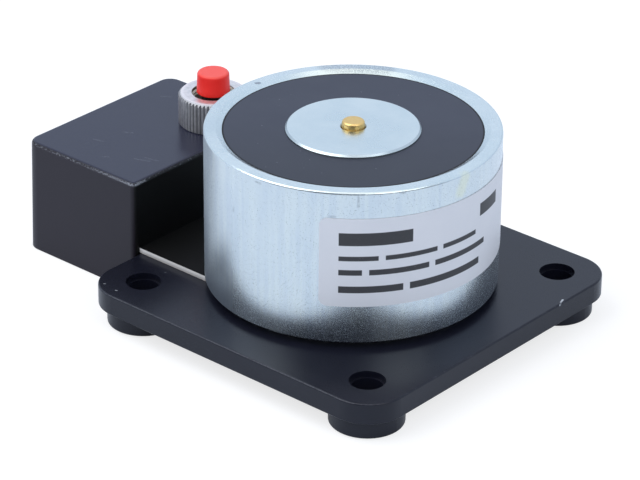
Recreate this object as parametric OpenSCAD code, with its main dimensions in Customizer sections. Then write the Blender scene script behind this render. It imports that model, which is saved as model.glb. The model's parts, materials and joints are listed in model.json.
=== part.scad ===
// Holding electromagnet for a door: a pot magnet on a cast wall plate, with a covered terminal
// board and a release push button beside it. Millimetres, the wall is the plane z = 0 and the
// pot's axis is the z axis. The terminal cover lies on the -x side.

/* [Base plate] */
// Side of the square base plate
plate_side = 84.5; // [80:0.5:96]
// Thickness of the plate without its feet
plate_thick = 5; // [5:0.1:8]
// Radius of the plate's four corners
plate_corner = 9; // [4:0.5:10]
// Rounding of the plate's upper edge
plate_edge = 0.4; // [0.3:0.1:1.5]
// Chamfer of the plate's lower edge
plate_low_cut = 0.3; // [0.1:0.1:0.6]
// Spacing of the four fixing holes, the same both ways
hole_pitch = 65; // [60:0.5:65.5]
// Bore of a fixing hole
hole_bore = 7; // [5:0.1:7.5]
// Diameter of the shallow recess at the mouth of a fixing hole
hole_mouth = 7.9; // [7.6:0.1:9]
// Depth of that recess
hole_mouth_deep = 1.5; // [0.5:0.1:3]
// Diameter of a foot
foot_dia = 16.4; // [13:0.1:17]
// Height of a foot below the plate
foot_high = 4.5; // [3:0.1:8]
// Fillet where a foot runs into the plate
foot_fillet = 0.8; // [0.2:0.1:1]
// Rounding of a foot's lower edge
foot_edge = 0.5; // [0.2:0.1:1]

/* [Magnet] */
// Outer diameter of the steel pot
pot_dia = 65; // [60:0.5:66]
// Height of the pot
pot_high = 35.8; // [34:0.1:45]
// Thickness of the pot's wall
pot_wall = 4; // [3:0.1:5]
// Thickness of the pot's floor
pot_floor = 6; // [4:0.1:8]
// Chamfer of the pot's lower edge
pot_cut = 0.4; // [0.2:0.1:1]
// Rounding of the pot's upper outer edge
pot_round = 0.6; // [0.2:0.1:1.5]
// Width of the bevel on the inside of the rim
rim_bevel_wide = 1.3; // [0.5:0.1:1.8]
// Depth of that bevel, down to the resin
rim_bevel_deep = 0.65; // [0.3:0.05:1.2]
// Diameter of the pole in the middle
core_dia = 29.6; // [26:0.1:34]
// Diameter of the pole's spigot in the pot's floor
spigot_dia = 20; // [16:0.5:24]
// Chamfer of the pole's upper edge
core_cut = 0.4; // [0.3:0.1:1.2]
// Wall of the coil former's tube
bobbin_wall = 1; // [0.8:0.1:1.5]
// Thickness of the coil former's flanges
bobbin_flange = 1.2; // [1:0.1:2]
// Gap for resin between a flange and the pot's wall
resin_side = 1; // [0.6:0.1:2]
// Depth of the winding below the edge of the flanges
winding_under = 1; // [0.5:0.1:3]
// Thickness of resin over the upper flange
resin_cover = 1.8; // [1:0.1:4]

/* [Ejector pin] */
// Diameter of the brass pin
pin_dia = 5; // [4:0.1:6]
// Height of the pin above the pole
pin_proud = 1.4; // [0.8:0.1:3]
// Rounding of the pin's top edge
pin_edge = 0.6; // [0.2:0.1:1.5]
// Length of the pin's guide in the pole
pin_guide = 11; // [6:0.5:12]
// Diameter of the flange that keeps the pin in
pin_flange_dia = 6.5; // [6.2:0.1:6.7]
// Thickness of that flange
pin_flange_thick = 1.6; // [1:0.1:3]
// Wire of the pin's spring
pin_wire = 0.7; // [0.5:0.05:0.9]

/* [Fixing screw] */
// Thread diameter of the screw that draws the pot to the plate
screw_dia = 8; // [7:0.5:8]
// Length of the screw over its head
screw_long = 20; // [16:1:22]
// Diameter of its countersunk head
screw_head = 15.6; // [13:0.1:16]
// Straight edge of the head
screw_land = 0.4; // [0.2:0.1:0.6]
// Width across the flats of its socket
screw_socket = 5; // [4:0.5:6]
// Depth of its socket
screw_socket_deep = 3; // [2:0.5:4]

/* [Board] */
// Thickness of the circuit board
board_thick = 1.2; // [1:0.1:2]
// Gap between the board's edge and the cover's wall
board_gap = 0.35; // [0.2:0.05:0.6]
// Distance from the pot's outer edge in to the board's round end
board_inset = 3.2; // [0.5:0.1:4]
// Diameter of the hole where the cable comes up
cable_hole = 9; // [7:0.5:9.5]
// Diameter of the coil's lead wires
lead_dia = 1; // [0.8:0.1:1.2]
// Distance of the lead wires in from the edge of the coil former's flanges
lead_inset = 7.5; // [4:0.5:8]
// Angle between the two lead wires
lead_spread = 24; // [16:1:60]

/* [Terminal cover] */
// Length of the cover along x
cover_long = 35.5; // [34:0.1:45]
// Width of the cover along y
cover_wide = 48.8; // [46:0.1:60]
// Height of the cover above the wall
cover_high = 26.9; // [26:0.1:40]
// How far the cover's middle lies to the -y side of the pot's axis
cover_shift = 0.7; // [0:0.1:4]
// Gap between the cover and the edge of the plate
cover_gap = 0.1; // [0.1:0.1:1]
// Thickness of the cover's walls
cover_wall = 1.5; // [1.4:0.1:2]
// Thickness of the cover's roof
cover_roof = 2; // [1.5:0.1:3]
// Lean of the cover's walls
cover_draft = 1.3; // [0.2:0.1:1.4]
// Rounding of the cover's upper edges
cover_edge = 0.9; // [0.4:0.1:1.2]
// Radius of the two upright corners away from the pot
cover_corner_far = 4; // [2.5:0.1:7]
// Radius of the two upright corners next to the pot
cover_corner_near = 1.7; // [1.6:0.1:2.4]

/* [Push button] */
// Distance of the button's axis from the cover's face next to the pot
button_inset_x = 9.8; // [9.6:0.1:11]
// Distance of the button's axis from the cover's +y face
button_inset_y = 12.2; // [9.6:0.1:14]
// Diameter of the red button at its top
button_dia = 7.4; // [6:0.1:8]
// How much wider the button is at its lower edge, on each side
button_flare = 0.15; // [0:0.05:0.4]
// Height of the button over the ring nut
button_proud = 5.1; // [4:0.1:8]
// Gap between the button's lower edge and the top of the ring nut
button_clear = 0.15; // [0.1:0.05:0.5]
// Diameter of the plunger that carries the button
plunger_dia = 5.6; // [5:0.1:6]
// Travel of the button
button_travel = 2.5; // [1.5:0.1:2.8]
// Outer diameter of the threaded bush
bush_dia = 10; // [9.6:0.1:11]
// How far the bush ends below the top of the ring nut
bush_below_nut = 2.7; // [2.7:0.1:4]
// Diameter of the bush's flange under the roof
bush_flange_dia = 12; // [11.5:0.1:12.6]
// Thickness of that flange
bush_flange_thick = 1.2; // [0.8:0.1:2]
// Diameter of the knurled ring nut
nut_dia = 16.2; // [14:0.1:17]
// Height of the ring nut
nut_high = 7.5; // [5:0.1:9]
// Number of ridges round the ring nut
nut_ridges = 54; // [36:1:72]
// Depth of the ridges
nut_ridge_deep = 0.4; // [0.2:0.05:0.6]
// Chamfer of the ring nut's edges
nut_cut = 0.6; // [0.3:0.1:1]
// Side of the square switch housing
switch_side = 12; // [11.8:0.1:13]
// Thickness of the switch housing's floor
switch_floor = 1.5; // [1:0.1:2]
// Wire of the button's return spring
button_wire = 0.35; // [0.25:0.05:0.4]

/* [Terminals] */
// Distance between the two terminals
terminal_pitch = 5; // [5:0.1:6]
// Depth of the terminal block along x
terminal_deep = 8.2; // [8:0.1:10]
// Height of the terminal block
terminal_high = 10; // [9.6:0.1:12]
// Diameter of the diode's body
diode_dia = 2.7; // [2:0.1:3]
// Length of the diode's body
diode_long = 5.2; // [4:0.1:6]

/* [Label] */
// Length of the blank sticker round the pot
label_long = 70; // [40:1:90]
// Height of the sticker
label_high = 20.8; // [14:0.1:26]
// Thickness of the sticker
label_thick = 0.12; // [0.1:0.01:0.2]
// Radius of the sticker's corners
label_corner = 2; // [1:0.1:4]
// Height of the sticker's lower edge over the pot's lower edge
label_up = 9; // [3:0.1:9]
// Angle of the sticker's first edge round the pot
label_from = -61.8; // [-90:0.1:0]

/* [Hidden] */
$fn = 72;

// Clearances
cut = 0.1;
touch_gap = 0.05;
slip_gap = 0.1;
run_gap = 0.06;
stop_gap = 0.05;
weld = 0.1;
arc_steps = 6;
grid = 0.001;

// Heights, from the wall up
plate_top = foot_high + plate_thick;
board_top = plate_top + board_thick;
pot_low = board_top;
pot_top = pot_low + pot_high;
pot_inside = pot_low + pot_floor;
resin_top = pot_top - rim_bevel_deep;
bobbin_top = resin_top - resin_cover;
roof_low = cover_high - cover_roof;
nut_top = cover_high + nut_high;
bush_top = nut_top - bush_below_nut;
bush_low = roof_low - bush_flange_thick;
button_top = nut_top + button_proud;

// Radii of the magnet
pot_r = pot_dia / 2;
pot_in_r = pot_r - pot_wall;
core_r = core_dia / 2;
spigot_r = spigot_dia / 2;
bobbin_in_r = core_r + slip_gap;
bobbin_out_r = bobbin_in_r + bobbin_wall;
flange_r = pot_in_r - resin_side;
winding_r = flange_r - winding_under;

// Screw, spring chamber and ejector pin on the pot's axis
screw_r = screw_dia / 2;
screw_low = foot_high + touch_gap;
screw_top = screw_low + screw_long;
screw_cone = (screw_head - screw_dia) / 2;
thread_r = screw_r + touch_gap;
chamber_r = pin_flange_dia / 2 + slip_gap;
pin_r = pin_dia / 2;
pin_bore_r = pin_r + run_gap;
pin_mouth = 0.35;
pin_shoulder = pot_top - pin_guide;
pin_flange_top = pin_shoulder - stop_gap;
pin_flange_low = pin_flange_top - pin_flange_thick;
pin_spring_turns = 5;

// Coil leads
lead_r = lead_dia / 2;
lead_radius = flange_r - lead_inset;
lead_hole_r = lead_r + slip_gap;
sleeve_wall = 0.6;
sleeve_r = lead_hole_r + sleeve_wall;
lead_tail = 0.7;
lead_relief_r = 2 * lead_dia;
lead_relief_gap = 0.6;
lead_relief_deep = lead_tail + lead_relief_gap;

// Cover and board outline
cover_x1 = -plate_side / 2 - cover_gap;
cover_x0 = cover_x1 - cover_long;
cover_y0 = -cover_wide / 2 - cover_shift;
cover_y1 = cover_wide / 2 - cover_shift;
cover_in_x0 = cover_x0 + cover_wall;
cover_in_x1 = cover_x1 - cover_wall;
cover_in_y0 = cover_y0 + cover_wall;
cover_in_y1 = cover_y1 - cover_wall;
cover_lean = roof_low * tan(cover_draft);
cover_corner_least = snap(cover_edge + cover_high * tan(cover_draft) + cut);
cover_near_r = max(cover_corner_near, cover_corner_least);
cover_far_r = max(cover_corner_far, cover_corner_least);
cover_in_corner_top = 0.3;
cover_in_corner_near = snap(cover_lean + cover_in_corner_top);
cover_in_corner_far = max(cover_far_r - cover_wall, cover_in_corner_near);
board_x0 = cover_in_x0 + board_gap;
board_y0 = cover_in_y0 + board_gap;
board_y1 = cover_in_y1 - board_gap;
board_end_r = pot_r - board_inset;
board_corner = cover_in_corner_far;
rib_wide = 1.2;
rib_deep = 2.2;
rib_inset = 7;

// Push button
button_x = cover_x1 - button_inset_x;
button_y = cover_y1 - button_inset_y;
button_r = button_dia / 2;
button_edge = 0.7;
button_low = nut_top + button_clear;
plunger_r = plunger_dia / 2;
plunger_step = 0.8;
plunger_tip_r = plunger_r - plunger_step;
plunger_tip = 3;
bush_r = bush_dia / 2;
bush_bore_r = plunger_r + run_gap;
bush_hole_r = bush_r + slip_gap;
collar_step = 0.8;
collar_r = button_r + collar_step;
collar_thick = 1.8;
collar_top = bush_low - stop_gap;
collar_low = collar_top - collar_thick;
collar_gap = 0.35;
switch_cavity_r = collar_r + collar_gap;
switch_inside = board_top + switch_floor;
stem_r = 1.8;
stem_tip_r = 1.2;
stem_tip = 1.4;

// Contacts of the switch
bridge_thick = 0.5;
bridge_wide = 3;
spring_solid = 2.3;
bridge_low = switch_inside + button_travel + spring_solid;
bridge_top = bridge_low + bridge_thick;
contact_gap = 0.4;
contact_thick = 0.4;
contact_wide = 2;
contact_out = switch_cavity_r - contact_gap;
contact_in = stem_r + 2 * contact_gap;
bridge_half = contact_out - contact_thick - contact_gap;
contact_tail_wide = 1;
contact_tail = 1.2;
contact_hole_r = 0.75;
button_spring_turns = 4;

// Terminals, block and cable hole along the -y side of the cover
terminal_count = 2;
cable_edge = 1;
cable_x = board_x0 + cable_edge + cable_hole / 2;
terminal_x0 = board_x0 + 2 * cable_edge + cable_hole;
terminal_inset = 11;
terminal_y = cover_in_y0 + terminal_inset;
cable_y = terminal_y;
terminal_wall = 0.6;
terminal_wide = terminal_count * terminal_pitch + 2 * terminal_wall;
terminal_base = 1.6;
cell_wide = terminal_pitch - 2 * terminal_wall;
cell_end = 0.7;
cell_deep = terminal_deep - 2 * cell_end;
cell_high = 5.4;
cell_low = board_top + terminal_base;
cell_x = terminal_x0 + terminal_deep / 2;
entry_lip = 0.4;
entry_wide = cell_wide - 2 * entry_lip;
entry_high = 3.4;
entry_low = cell_low + 2 * entry_lip;
well_r = 1.85;
terminal_cut = 1.6;
clamp_wide = cell_wide - 2 * slip_gap;
clamp_end = 0.6;
clamp_deep = cell_deep - 2 * clamp_end;
clamp_high = cell_high - 2 * slip_gap;
clamp_wall = 0.5;
clamp_low = cell_low + slip_gap;
clamp_top = clamp_low + clamp_high;
clamp_pin_r = 0.5;
clamp_pin_tail = 1.2;
clamp_pin_hole_r = clamp_pin_r + slip_gap;
tscrew_r = 1.25;
tscrew_head_r = well_r - slip_gap;
tscrew_head_high = 1.6;
tscrew_tip = 0.6;
tscrew_reach = clamp_wall + tscrew_tip;
tscrew_slot = 0.5;
tscrew_slot_deep = 0.8;

// Diode between the block and the switch
diode_r = diode_dia / 2;
diode_lead_r = 0.4;
diode_lead_hole_r = diode_lead_r + slip_gap;
diode_lead = 2.5;
diode_span = diode_long + 2 * diode_lead;
diode_up = board_top + diode_r + touch_gap;
diode_tail = 1.2;
diode_x = cover_in_x1 - cover_lean - diode_dia;
diode_y = terminal_y;
diode_band = 0.9;
diode_band_proud = 0.02;

// Sticker round the pot
label_r = pot_r + touch_gap / 2;
label_sweep = label_long / label_r * 180 / PI;
label_low = pot_low + label_up;
label_corner_turn = label_corner / label_r * 180 / PI;

function arc_points(centre, r, from, to) =
    [for (i = [0:arc_steps]) let (a = from + (to - from) * i / arc_steps) centre + r * [cos(a), sin(a)]];

function snap(v) = round(v / grid) * grid;

// Half section of a drafted wall with a rounded upper edge, from its inside out to its reach.
// Its insets lie on a fine grid, so that straight walls and corner sweeps meet point to point
function wall_outline(reach, high, draft, top_r, low_cut) =
    let (
        lean = tan(draft),
        arc_in = (high - top_r) * lean + top_r / cos(draft),
        low = low_cut > 0 ? [[-low_cut, 0], [-low_cut * lean, low_cut]] : [[0, 0]],
        head = top_r > 0 ? arc_points([-arc_in, high - top_r], top_r, draft, 90) : [[-high * lean, high]],
        wall = [for (p = concat(low, head)) [reach + snap(p.x), snap(p.y)]]
    )
    concat([[0, 0]], wall, [[0, high]]);

// Block with upright round corners, drafted sides and a rounded upper edge: straight walls and
// corner sweeps round a core that overlaps them. Corner radii in turn: +x+y, -x+y, -x-y, +x-y
module soft_block(low, high, radii, draft = 0, top_r = 0, low_cut = 0) {
    size = high - low;
    half = [size.x / 2, size.y / 2];
    depth = max(radii);
    inset = max(top_r + size.z * tan(draft), low_cut) + weld;
    core = [
        for (k = [0:3])
            let (
                sign = [k % 3 == 0 ? 1 : -1, k < 2 ? 1 : -1],
                r = radii[k],
                ends = [[half.x - inset, half.y - r], [half.x - r, half.y - inset]]
            )
            for (i = k % 2 == 0 ? [0, 1] : [1, 0])
                [sign.x * ends[i].x, sign.y * ends[i].y]
    ];
    translate([low.x + half.x, low.y + half.y, low.z]) {
        linear_extrude(size.z)
            polygon(core);
        for (k = [0:3]) {
            out = half[k % 2];
            along = half[(k + 1) % 2];
            before = radii[(k + 3) % 4];
            after = radii[k];
            rotate(90 * k) {
                translate([out - depth, (before - after) / 2, 0])
                    rotate([90, 0, 0])
                        linear_extrude(2 * along - before - after, center = true)
                            polygon(wall_outline(depth, size.z, draft, top_r, low_cut));
                translate([out - after, along - after, 0])
                    rotate_extrude(angle = 90)
                        polygon(wall_outline(after, size.z, draft, top_r, low_cut));
            }
        }
    }
}

// Open coil spring of round wire between two heights
module coil_spring(mean_r, wire_r, low, high, turns) {
    sides = 8;
    rings = 16 * turns;
    rise = high - low - 2 * wire_r;
    points = [
        for (i = [0:rings], j = [0:sides - 1])
            let (
                a = 360 * turns * i / rings,
                b = 360 * j / sides,
                r = mean_r + wire_r * cos(b)
            )
            [r * cos(a), r * sin(a), low + wire_r + rise * i / rings + wire_r * sin(b)]
    ];
    walls = [
        for (i = [0:rings - 1], j = [0:sides - 1])
            let (n = (j + 1) % sides)
            [i * sides + j, (i + 1) * sides + j, (i + 1) * sides + n, i * sides + n]
    ];
    first = [for (j = [0:sides - 1]) j];
    last = [for (j = [sides - 1:-1:0]) rings * sides + j];
    polyhedron(points, concat([first], walls, [last]), convexity = 4);
}

module at_holes() {
    for (x = [-1, 1], y = [-1, 1])
        translate([x * hole_pitch / 2, y * hole_pitch / 2, 0])
            children();
}

module at_leads() {
    for (side = [-1, 1])
        rotate(180 + side * lead_spread / 2)
            translate([lead_radius, 0, 0])
                children();
}

module at_button() {
    translate([button_x, button_y, 0])
        children();
}

module at_terminals() {
    for (i = [0:terminal_count - 1])
        translate([cell_x, terminal_y + (i - (terminal_count - 1) / 2) * terminal_pitch, 0])
            children();
}

module at_contacts() {
    at_button()
        for (turn = [0, 180])
            rotate(turn)
                children();
}

module at_diode_ends() {
    for (side = [-1, 1])
        translate([diode_x, diode_y + side * diode_span / 2, 0])
            children();
}

module foot() {
    r = foot_dia / 2;
    room = (plate_side - hole_pitch) / 2 - r - plate_low_cut;
    fillet = min(foot_fillet, room - touch_gap);
    outline = concat(
        [[0, 0]],
        arc_points([r - foot_edge, foot_edge], foot_edge, -90, 0),
        arc_points([r + fillet, foot_high - fillet], fillet, 180, 90),
        [[0, foot_high]]
    );
    rotate_extrude()
        polygon(outline);
}

module base_plate() {
    half = plate_side / 2;
    corners = [plate_corner, plate_corner, plate_corner, plate_corner];
    color("#262a33")
        difference() {
            union() {
                soft_block([-half, -half, foot_high], [half, half, plate_top], corners,
                    top_r = plate_edge, low_cut = plate_low_cut);
                at_holes()
                    foot();
            }
            at_holes() {
                translate([0, 0, -cut])
                    cylinder(d = hole_bore, h = plate_top + 2 * cut);
                translate([0, 0, plate_top - hole_mouth_deep])
                    cylinder(d = hole_mouth, h = hole_mouth_deep + cut);
            }
            translate([0, 0, foot_high - cut])
                cylinder(r = thread_r + slip_gap, h = plate_thick + 2 * cut);
            translate([0, 0, foot_high - cut])
                cylinder(d = screw_head + 2 * slip_gap, h = cut + screw_land + touch_gap);
            translate([0, 0, screw_low + screw_land])
                cylinder(d1 = screw_head + 2 * slip_gap, d2 = screw_dia + 2 * slip_gap, h = screw_cone);
            at_leads()
                translate([0, 0, plate_top - lead_relief_deep])
                    cylinder(r = lead_relief_r, h = lead_relief_deep + cut);
        }
}

module fixing_screw() {
    head_r = screw_head / 2;
    tip_cut = screw_r / 6;
    color("#b9bcc0")
        translate([0, 0, screw_low])
            difference() {
                rotate_extrude()
                    polygon([
                        [0, 0],
                        [head_r, 0],
                        [head_r, screw_land],
                        [screw_r, screw_land + screw_cone],
                        [screw_r, screw_long - tip_cut],
                        [screw_r - tip_cut, screw_long],
                        [0, screw_long]
                    ]);
                translate([0, 0, -cut])
                    cylinder(d = screw_socket / cos(30), h = screw_socket_deep + cut, $fn = 6);
            }
}

module circuit_board() {
    color("#1c1b1d")
        translate([0, 0, plate_top])
            difference() {
                linear_extrude(board_thick)
                    board_outline();
                translate([0, 0, -cut])
                    board_holes(board_thick + 2 * cut);
            }
}

// Round end under the pot and a straight tongue with two round corners under the cover
module board_outline() {
    wide = board_y1 - board_y0;
    circle(board_end_r);
    translate([board_x0 + board_corner, board_y0])
        square([-board_x0 - board_corner, wide]);
    translate([board_x0, board_y0 + board_corner])
        square([board_corner, wide - 2 * board_corner]);
    for (y = [board_y0 + board_corner, board_y1 - board_corner])
        translate([board_x0 + board_corner, y])
            circle(board_corner);
}

module board_holes(deep) {
    cylinder(r = thread_r + slip_gap, h = deep);
    at_leads()
        cylinder(r = lead_hole_r, h = deep);
    translate([cable_x, cable_y, 0])
        cylinder(d = cable_hole, h = deep);
    at_terminals()
        cylinder(r = clamp_pin_hole_r, h = deep);
    at_contacts()
        translate([contact_out - contact_thick / 2, 0, 0])
            cylinder(r = contact_hole_r, h = deep);
    at_diode_ends()
        cylinder(r = diode_lead_hole_r, h = deep);
}

module magnet_pot() {
    outline = concat(
        [[spigot_r + touch_gap, pot_low], [pot_r - pot_cut, pot_low], [pot_r, pot_low + pot_cut]],
        arc_points([pot_r - pot_round, pot_top - pot_round], pot_round, 0, 90),
        [[pot_in_r + rim_bevel_wide, pot_top], [pot_in_r, resin_top]],
        [[pot_in_r, pot_inside], [spigot_r + touch_gap, pot_inside]]
    );
    color("#c3d2df")
        difference() {
            rotate_extrude()
                polygon(outline);
            at_leads()
                translate([0, 0, pot_low - cut])
                    cylinder(r = sleeve_r + touch_gap, h = pot_floor + 2 * cut);
        }
}

module core_pole() {
    color("#c9d6e2")
        rotate_extrude()
            polygon([
                [thread_r, pot_low],
                [spigot_r, pot_low],
                [spigot_r, pot_inside],
                [core_r, pot_inside],
                [core_r, pot_top - core_cut],
                [core_r - core_cut, pot_top],
                [pin_bore_r + pin_mouth, pot_top],
                [pin_bore_r, pot_top - pin_mouth],
                [pin_bore_r, pin_shoulder],
                [chamber_r, pin_shoulder],
                [chamber_r, screw_top],
                [thread_r, screw_top]
            ]);
}

module coil_bobbin() {
    color("#d8d2c0")
        difference() {
            rotate_extrude()
                polygon([
                    [bobbin_in_r, pot_inside],
                    [flange_r, pot_inside],
                    [flange_r, pot_inside + bobbin_flange],
                    [bobbin_out_r, pot_inside + bobbin_flange],
                    [bobbin_out_r, bobbin_top - bobbin_flange],
                    [flange_r, bobbin_top - bobbin_flange],
                    [flange_r, bobbin_top],
                    [bobbin_in_r, bobbin_top]
                ]);
            at_leads()
                translate([0, 0, pot_inside - cut])
                    cylinder(r = lead_hole_r, h = bobbin_flange + 2 * cut);
        }
}

module coil_winding() {
    low = pot_inside + bobbin_flange + touch_gap;
    high = bobbin_top - bobbin_flange - touch_gap;
    color("#b4662e")
        translate([0, 0, low])
            difference() {
                cylinder(r = winding_r, h = high - low);
                translate([0, 0, -cut])
                    cylinder(r = bobbin_out_r + touch_gap, h = high - low + 2 * cut);
            }
}

module coil_leads() {
    color("#b4662e")
        at_leads()
            translate([0, 0, plate_top - lead_tail])
                cylinder(r = lead_r, h = pot_inside + bobbin_flange - plate_top + lead_tail);
}

module lead_sleeves() {
    color("#e8e6df")
        at_leads()
            translate([0, 0, pot_low])
                difference() {
                    cylinder(r = sleeve_r, h = pot_floor - touch_gap);
                    translate([0, 0, -cut])
                        cylinder(r = lead_hole_r, h = pot_floor + 2 * cut);
                }
}

module potting_resin() {
    inner = core_r + touch_gap;
    outer = pot_in_r - touch_gap;
    beside_flange = flange_r + touch_gap;
    beside_winding = winding_r + touch_gap;
    color("#3a3e47")
        rotate_extrude()
            polygon([
                [inner, resin_top],
                [inner, bobbin_top],
                [beside_flange, bobbin_top],
                [beside_flange, bobbin_top - bobbin_flange - touch_gap],
                [beside_winding, bobbin_top - bobbin_flange - touch_gap],
                [beside_winding, pot_inside + bobbin_flange + touch_gap],
                [beside_flange, pot_inside + bobbin_flange + touch_gap],
                [beside_flange, pot_inside],
                [outer, pot_inside],
                [outer, resin_top]
            ]);
}

module ejector_pin() {
    top = pot_top + pin_proud;
    outline = concat(
        [[0, pin_flange_low], [pin_flange_dia / 2, pin_flange_low], [pin_flange_dia / 2, pin_flange_top]],
        [[pin_r, pin_flange_top]],
        arc_points([pin_r - pin_edge, top - pin_edge], pin_edge, 0, 90),
        [[0, top]]
    );
    color("#c9a24e")
        rotate_extrude()
            polygon(outline);
}

module ejector_spring() {
    color("#9a9da1")
        coil_spring(chamber_r - slip_gap - pin_wire / 2, pin_wire / 2,
            screw_top + touch_gap, pin_flange_low - touch_gap, pin_spring_turns);
}

module pot_label() {
    reach = label_thick + cut;
    color("#d3d9e2")
        difference() {
            rotate(label_from)
                rotate_extrude(angle = label_sweep)
                    translate([label_r, label_low])
                        square([label_thick, label_high]);
            for (end = [0, 1], side = [0, 1])
                rotate(label_from + label_sweep * end)
                    translate([label_r - cut, 0, label_low + label_high * side])
                        mirror([0, end, 0])
                            mirror([0, 0, side])
                                label_corner_cut(reach + cut);
        }
}

// What is cut away outside a round corner of the sticker, along +x
module label_corner_cut(deep) {
    centre = label_corner - touch_gap;
    difference() {
        translate([0, -cut, -cut])
            cube([deep, label_corner + cut, label_corner + cut]);
        translate([-cut, centre, centre])
            rotate([0, 90, 0])
                cylinder(r = label_corner, h = deep + 2 * cut);
    }
}

module terminal_cover() {
    near = cover_near_r;
    far = cover_far_r;
    near_in = cover_in_corner_near;
    far_in = cover_in_corner_far;
    notch_y0 = board_y0 - slip_gap;
    notch_y1 = board_y1 + slip_gap;
    color("#33363f")
        difference() {
            union() {
                difference() {
                    soft_block([cover_x0, cover_y0, 0], [cover_x1, cover_y1, cover_high],
                        [near, far, far, near], cover_draft, cover_edge);
                    soft_block([cover_in_x0, cover_in_y0, -cut], [cover_in_x1, cover_in_y1, roof_low],
                        [near_in, far_in, far_in, near_in], cover_draft);
                }
                for (y = [cover_in_y0 + rib_inset, cover_in_y1 - rib_inset])
                    translate([cover_in_x0 - cover_wall / 2, y - rib_wide / 2, board_top])
                        cube([cover_wall / 2 + rib_deep, rib_wide, roof_low - board_top + cover_roof / 2]);
            }
            translate([cover_in_x1 - cover_wall, notch_y0, -cut])
                cube([3 * cover_wall, notch_y1 - notch_y0, board_top + cut]);
            at_button()
                translate([0, 0, roof_low - cut])
                    cylinder(r = bush_hole_r, h = cover_roof + 2 * cut);
        }
}

module terminal_block() {
    back = terminal_x0 + terminal_deep;
    top = board_top + terminal_high;
    color("#3d7a4f")
        difference() {
            translate([terminal_x0, terminal_y + terminal_wide / 2, 0])
                rotate([90, 0, 0])
                    linear_extrude(terminal_wide)
                        polygon([
                            [0, board_top],
                            [terminal_deep, board_top],
                            [terminal_deep, top],
                            [terminal_cut, top],
                            [0, top - 2 * terminal_cut]
                        ]);
            at_terminals() {
                translate([-cell_deep / 2, -cell_wide / 2, cell_low])
                    cube([cell_deep, cell_wide, cell_high]);
                translate([terminal_x0 - cell_x - cut, -entry_wide / 2, entry_low])
                    cube([terminal_deep / 2, entry_wide, entry_high]);
                translate([0, 0, cell_low])
                    cylinder(r = well_r, h = top - cell_low + cut);
                translate([0, 0, board_top - cut])
                    cylinder(r = clamp_pin_hole_r, h = terminal_base + 2 * cut);
            }
        }
}

module terminal_clamps() {
    color("#c8b067")
        at_terminals() {
            difference() {
                translate([-clamp_deep / 2, -clamp_wide / 2, clamp_low])
                    cube([clamp_deep, clamp_wide, clamp_high]);
                translate([-clamp_deep / 2 - cut, clamp_wall - clamp_wide / 2, clamp_low + clamp_wall])
                    cube([clamp_deep + 2 * cut, clamp_wide - 2 * clamp_wall, clamp_high - 2 * clamp_wall]);
                translate([0, 0, clamp_top - clamp_wall - cut])
                    cylinder(r = tscrew_r + touch_gap, h = clamp_wall + 2 * cut);
            }
            translate([0, 0, plate_top - clamp_pin_tail])
                cylinder(r = clamp_pin_r, h = clamp_low + clamp_wall / 2 - plate_top + clamp_pin_tail);
        }
}

module terminal_screws() {
    color("#b9bcc0")
        at_terminals()
            translate([0, 0, clamp_top + touch_gap])
                difference() {
                    union() {
                        cylinder(r = tscrew_head_r, h = tscrew_head_high);
                        translate([0, 0, -tscrew_reach])
                            cylinder(r = tscrew_r, h = tscrew_reach + cut);
                    }
                    translate([-well_r, -tscrew_slot / 2, tscrew_head_high - tscrew_slot_deep])
                        cube([2 * well_r, tscrew_slot, tscrew_slot_deep + cut]);
                }
}

module suppressor_diode() {
    color("#20222a")
        union() {
            translate([diode_x, diode_y, diode_up])
                rotate([90, 0, 0]) {
                    cylinder(r = diode_r, h = diode_long, center = true);
                    translate([0, 0, diode_long / 2 - 2 * diode_band])
                        cylinder(r = diode_r + diode_band_proud, h = diode_band);
                    cylinder(r = diode_lead_r, h = diode_span, center = true);
                }
            at_diode_ends() {
                translate([0, 0, plate_top - diode_tail])
                    cylinder(r = diode_lead_r, h = diode_up - plate_top + diode_tail);
                translate([0, 0, diode_up])
                    sphere(r = diode_lead_r);
            }
        }
}

module switch_housing() {
    half = switch_side / 2;
    corner = switch_side / 12;
    color("#2a2a2c")
        at_button()
            difference() {
                soft_block([-half, -half, board_top], [half, half, bush_low],
                    [corner, corner, corner, corner]);
                translate([0, 0, switch_inside])
                    cylinder(r = switch_cavity_r, h = bush_low - switch_inside + cut);
                for (turn = [0, 180])
                    rotate(turn)
                        translate([contact_out - contact_thick - slip_gap, -contact_tail_wide / 2 - slip_gap,
                            board_top - cut])
                            cube([contact_thick + 2 * slip_gap, contact_tail_wide + 2 * slip_gap,
                                switch_floor + 2 * cut]);
            }
}

module switch_bush() {
    lip = (bush_r - bush_bore_r) / 3;
    color("#b6b2a4")
        at_button()
            rotate_extrude()
                polygon([
                    [bush_bore_r, bush_low],
                    [bush_flange_dia / 2, bush_low],
                    [bush_flange_dia / 2, roof_low],
                    [bush_r, roof_low],
                    [bush_r, bush_top - lip],
                    [bush_r - lip, bush_top],
                    [bush_bore_r, bush_top]
                ]);
}

// Red cap, a little wider below, pressed on the tip of its plunger
module push_button() {
    socket_r = plunger_tip_r + touch_gap;
    socket_top = button_low + plunger_tip + touch_gap;
    outline = concat(
        [[socket_r, button_low], [button_r + button_flare, button_low]],
        arc_points([button_r - button_edge, button_top - button_edge], button_edge, 0, 90),
        [[0, button_top], [0, socket_top], [socket_r, socket_top]]
    );
    color("#d9332c")
        at_button()
            rotate_extrude()
                polygon(outline);
}

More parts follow.
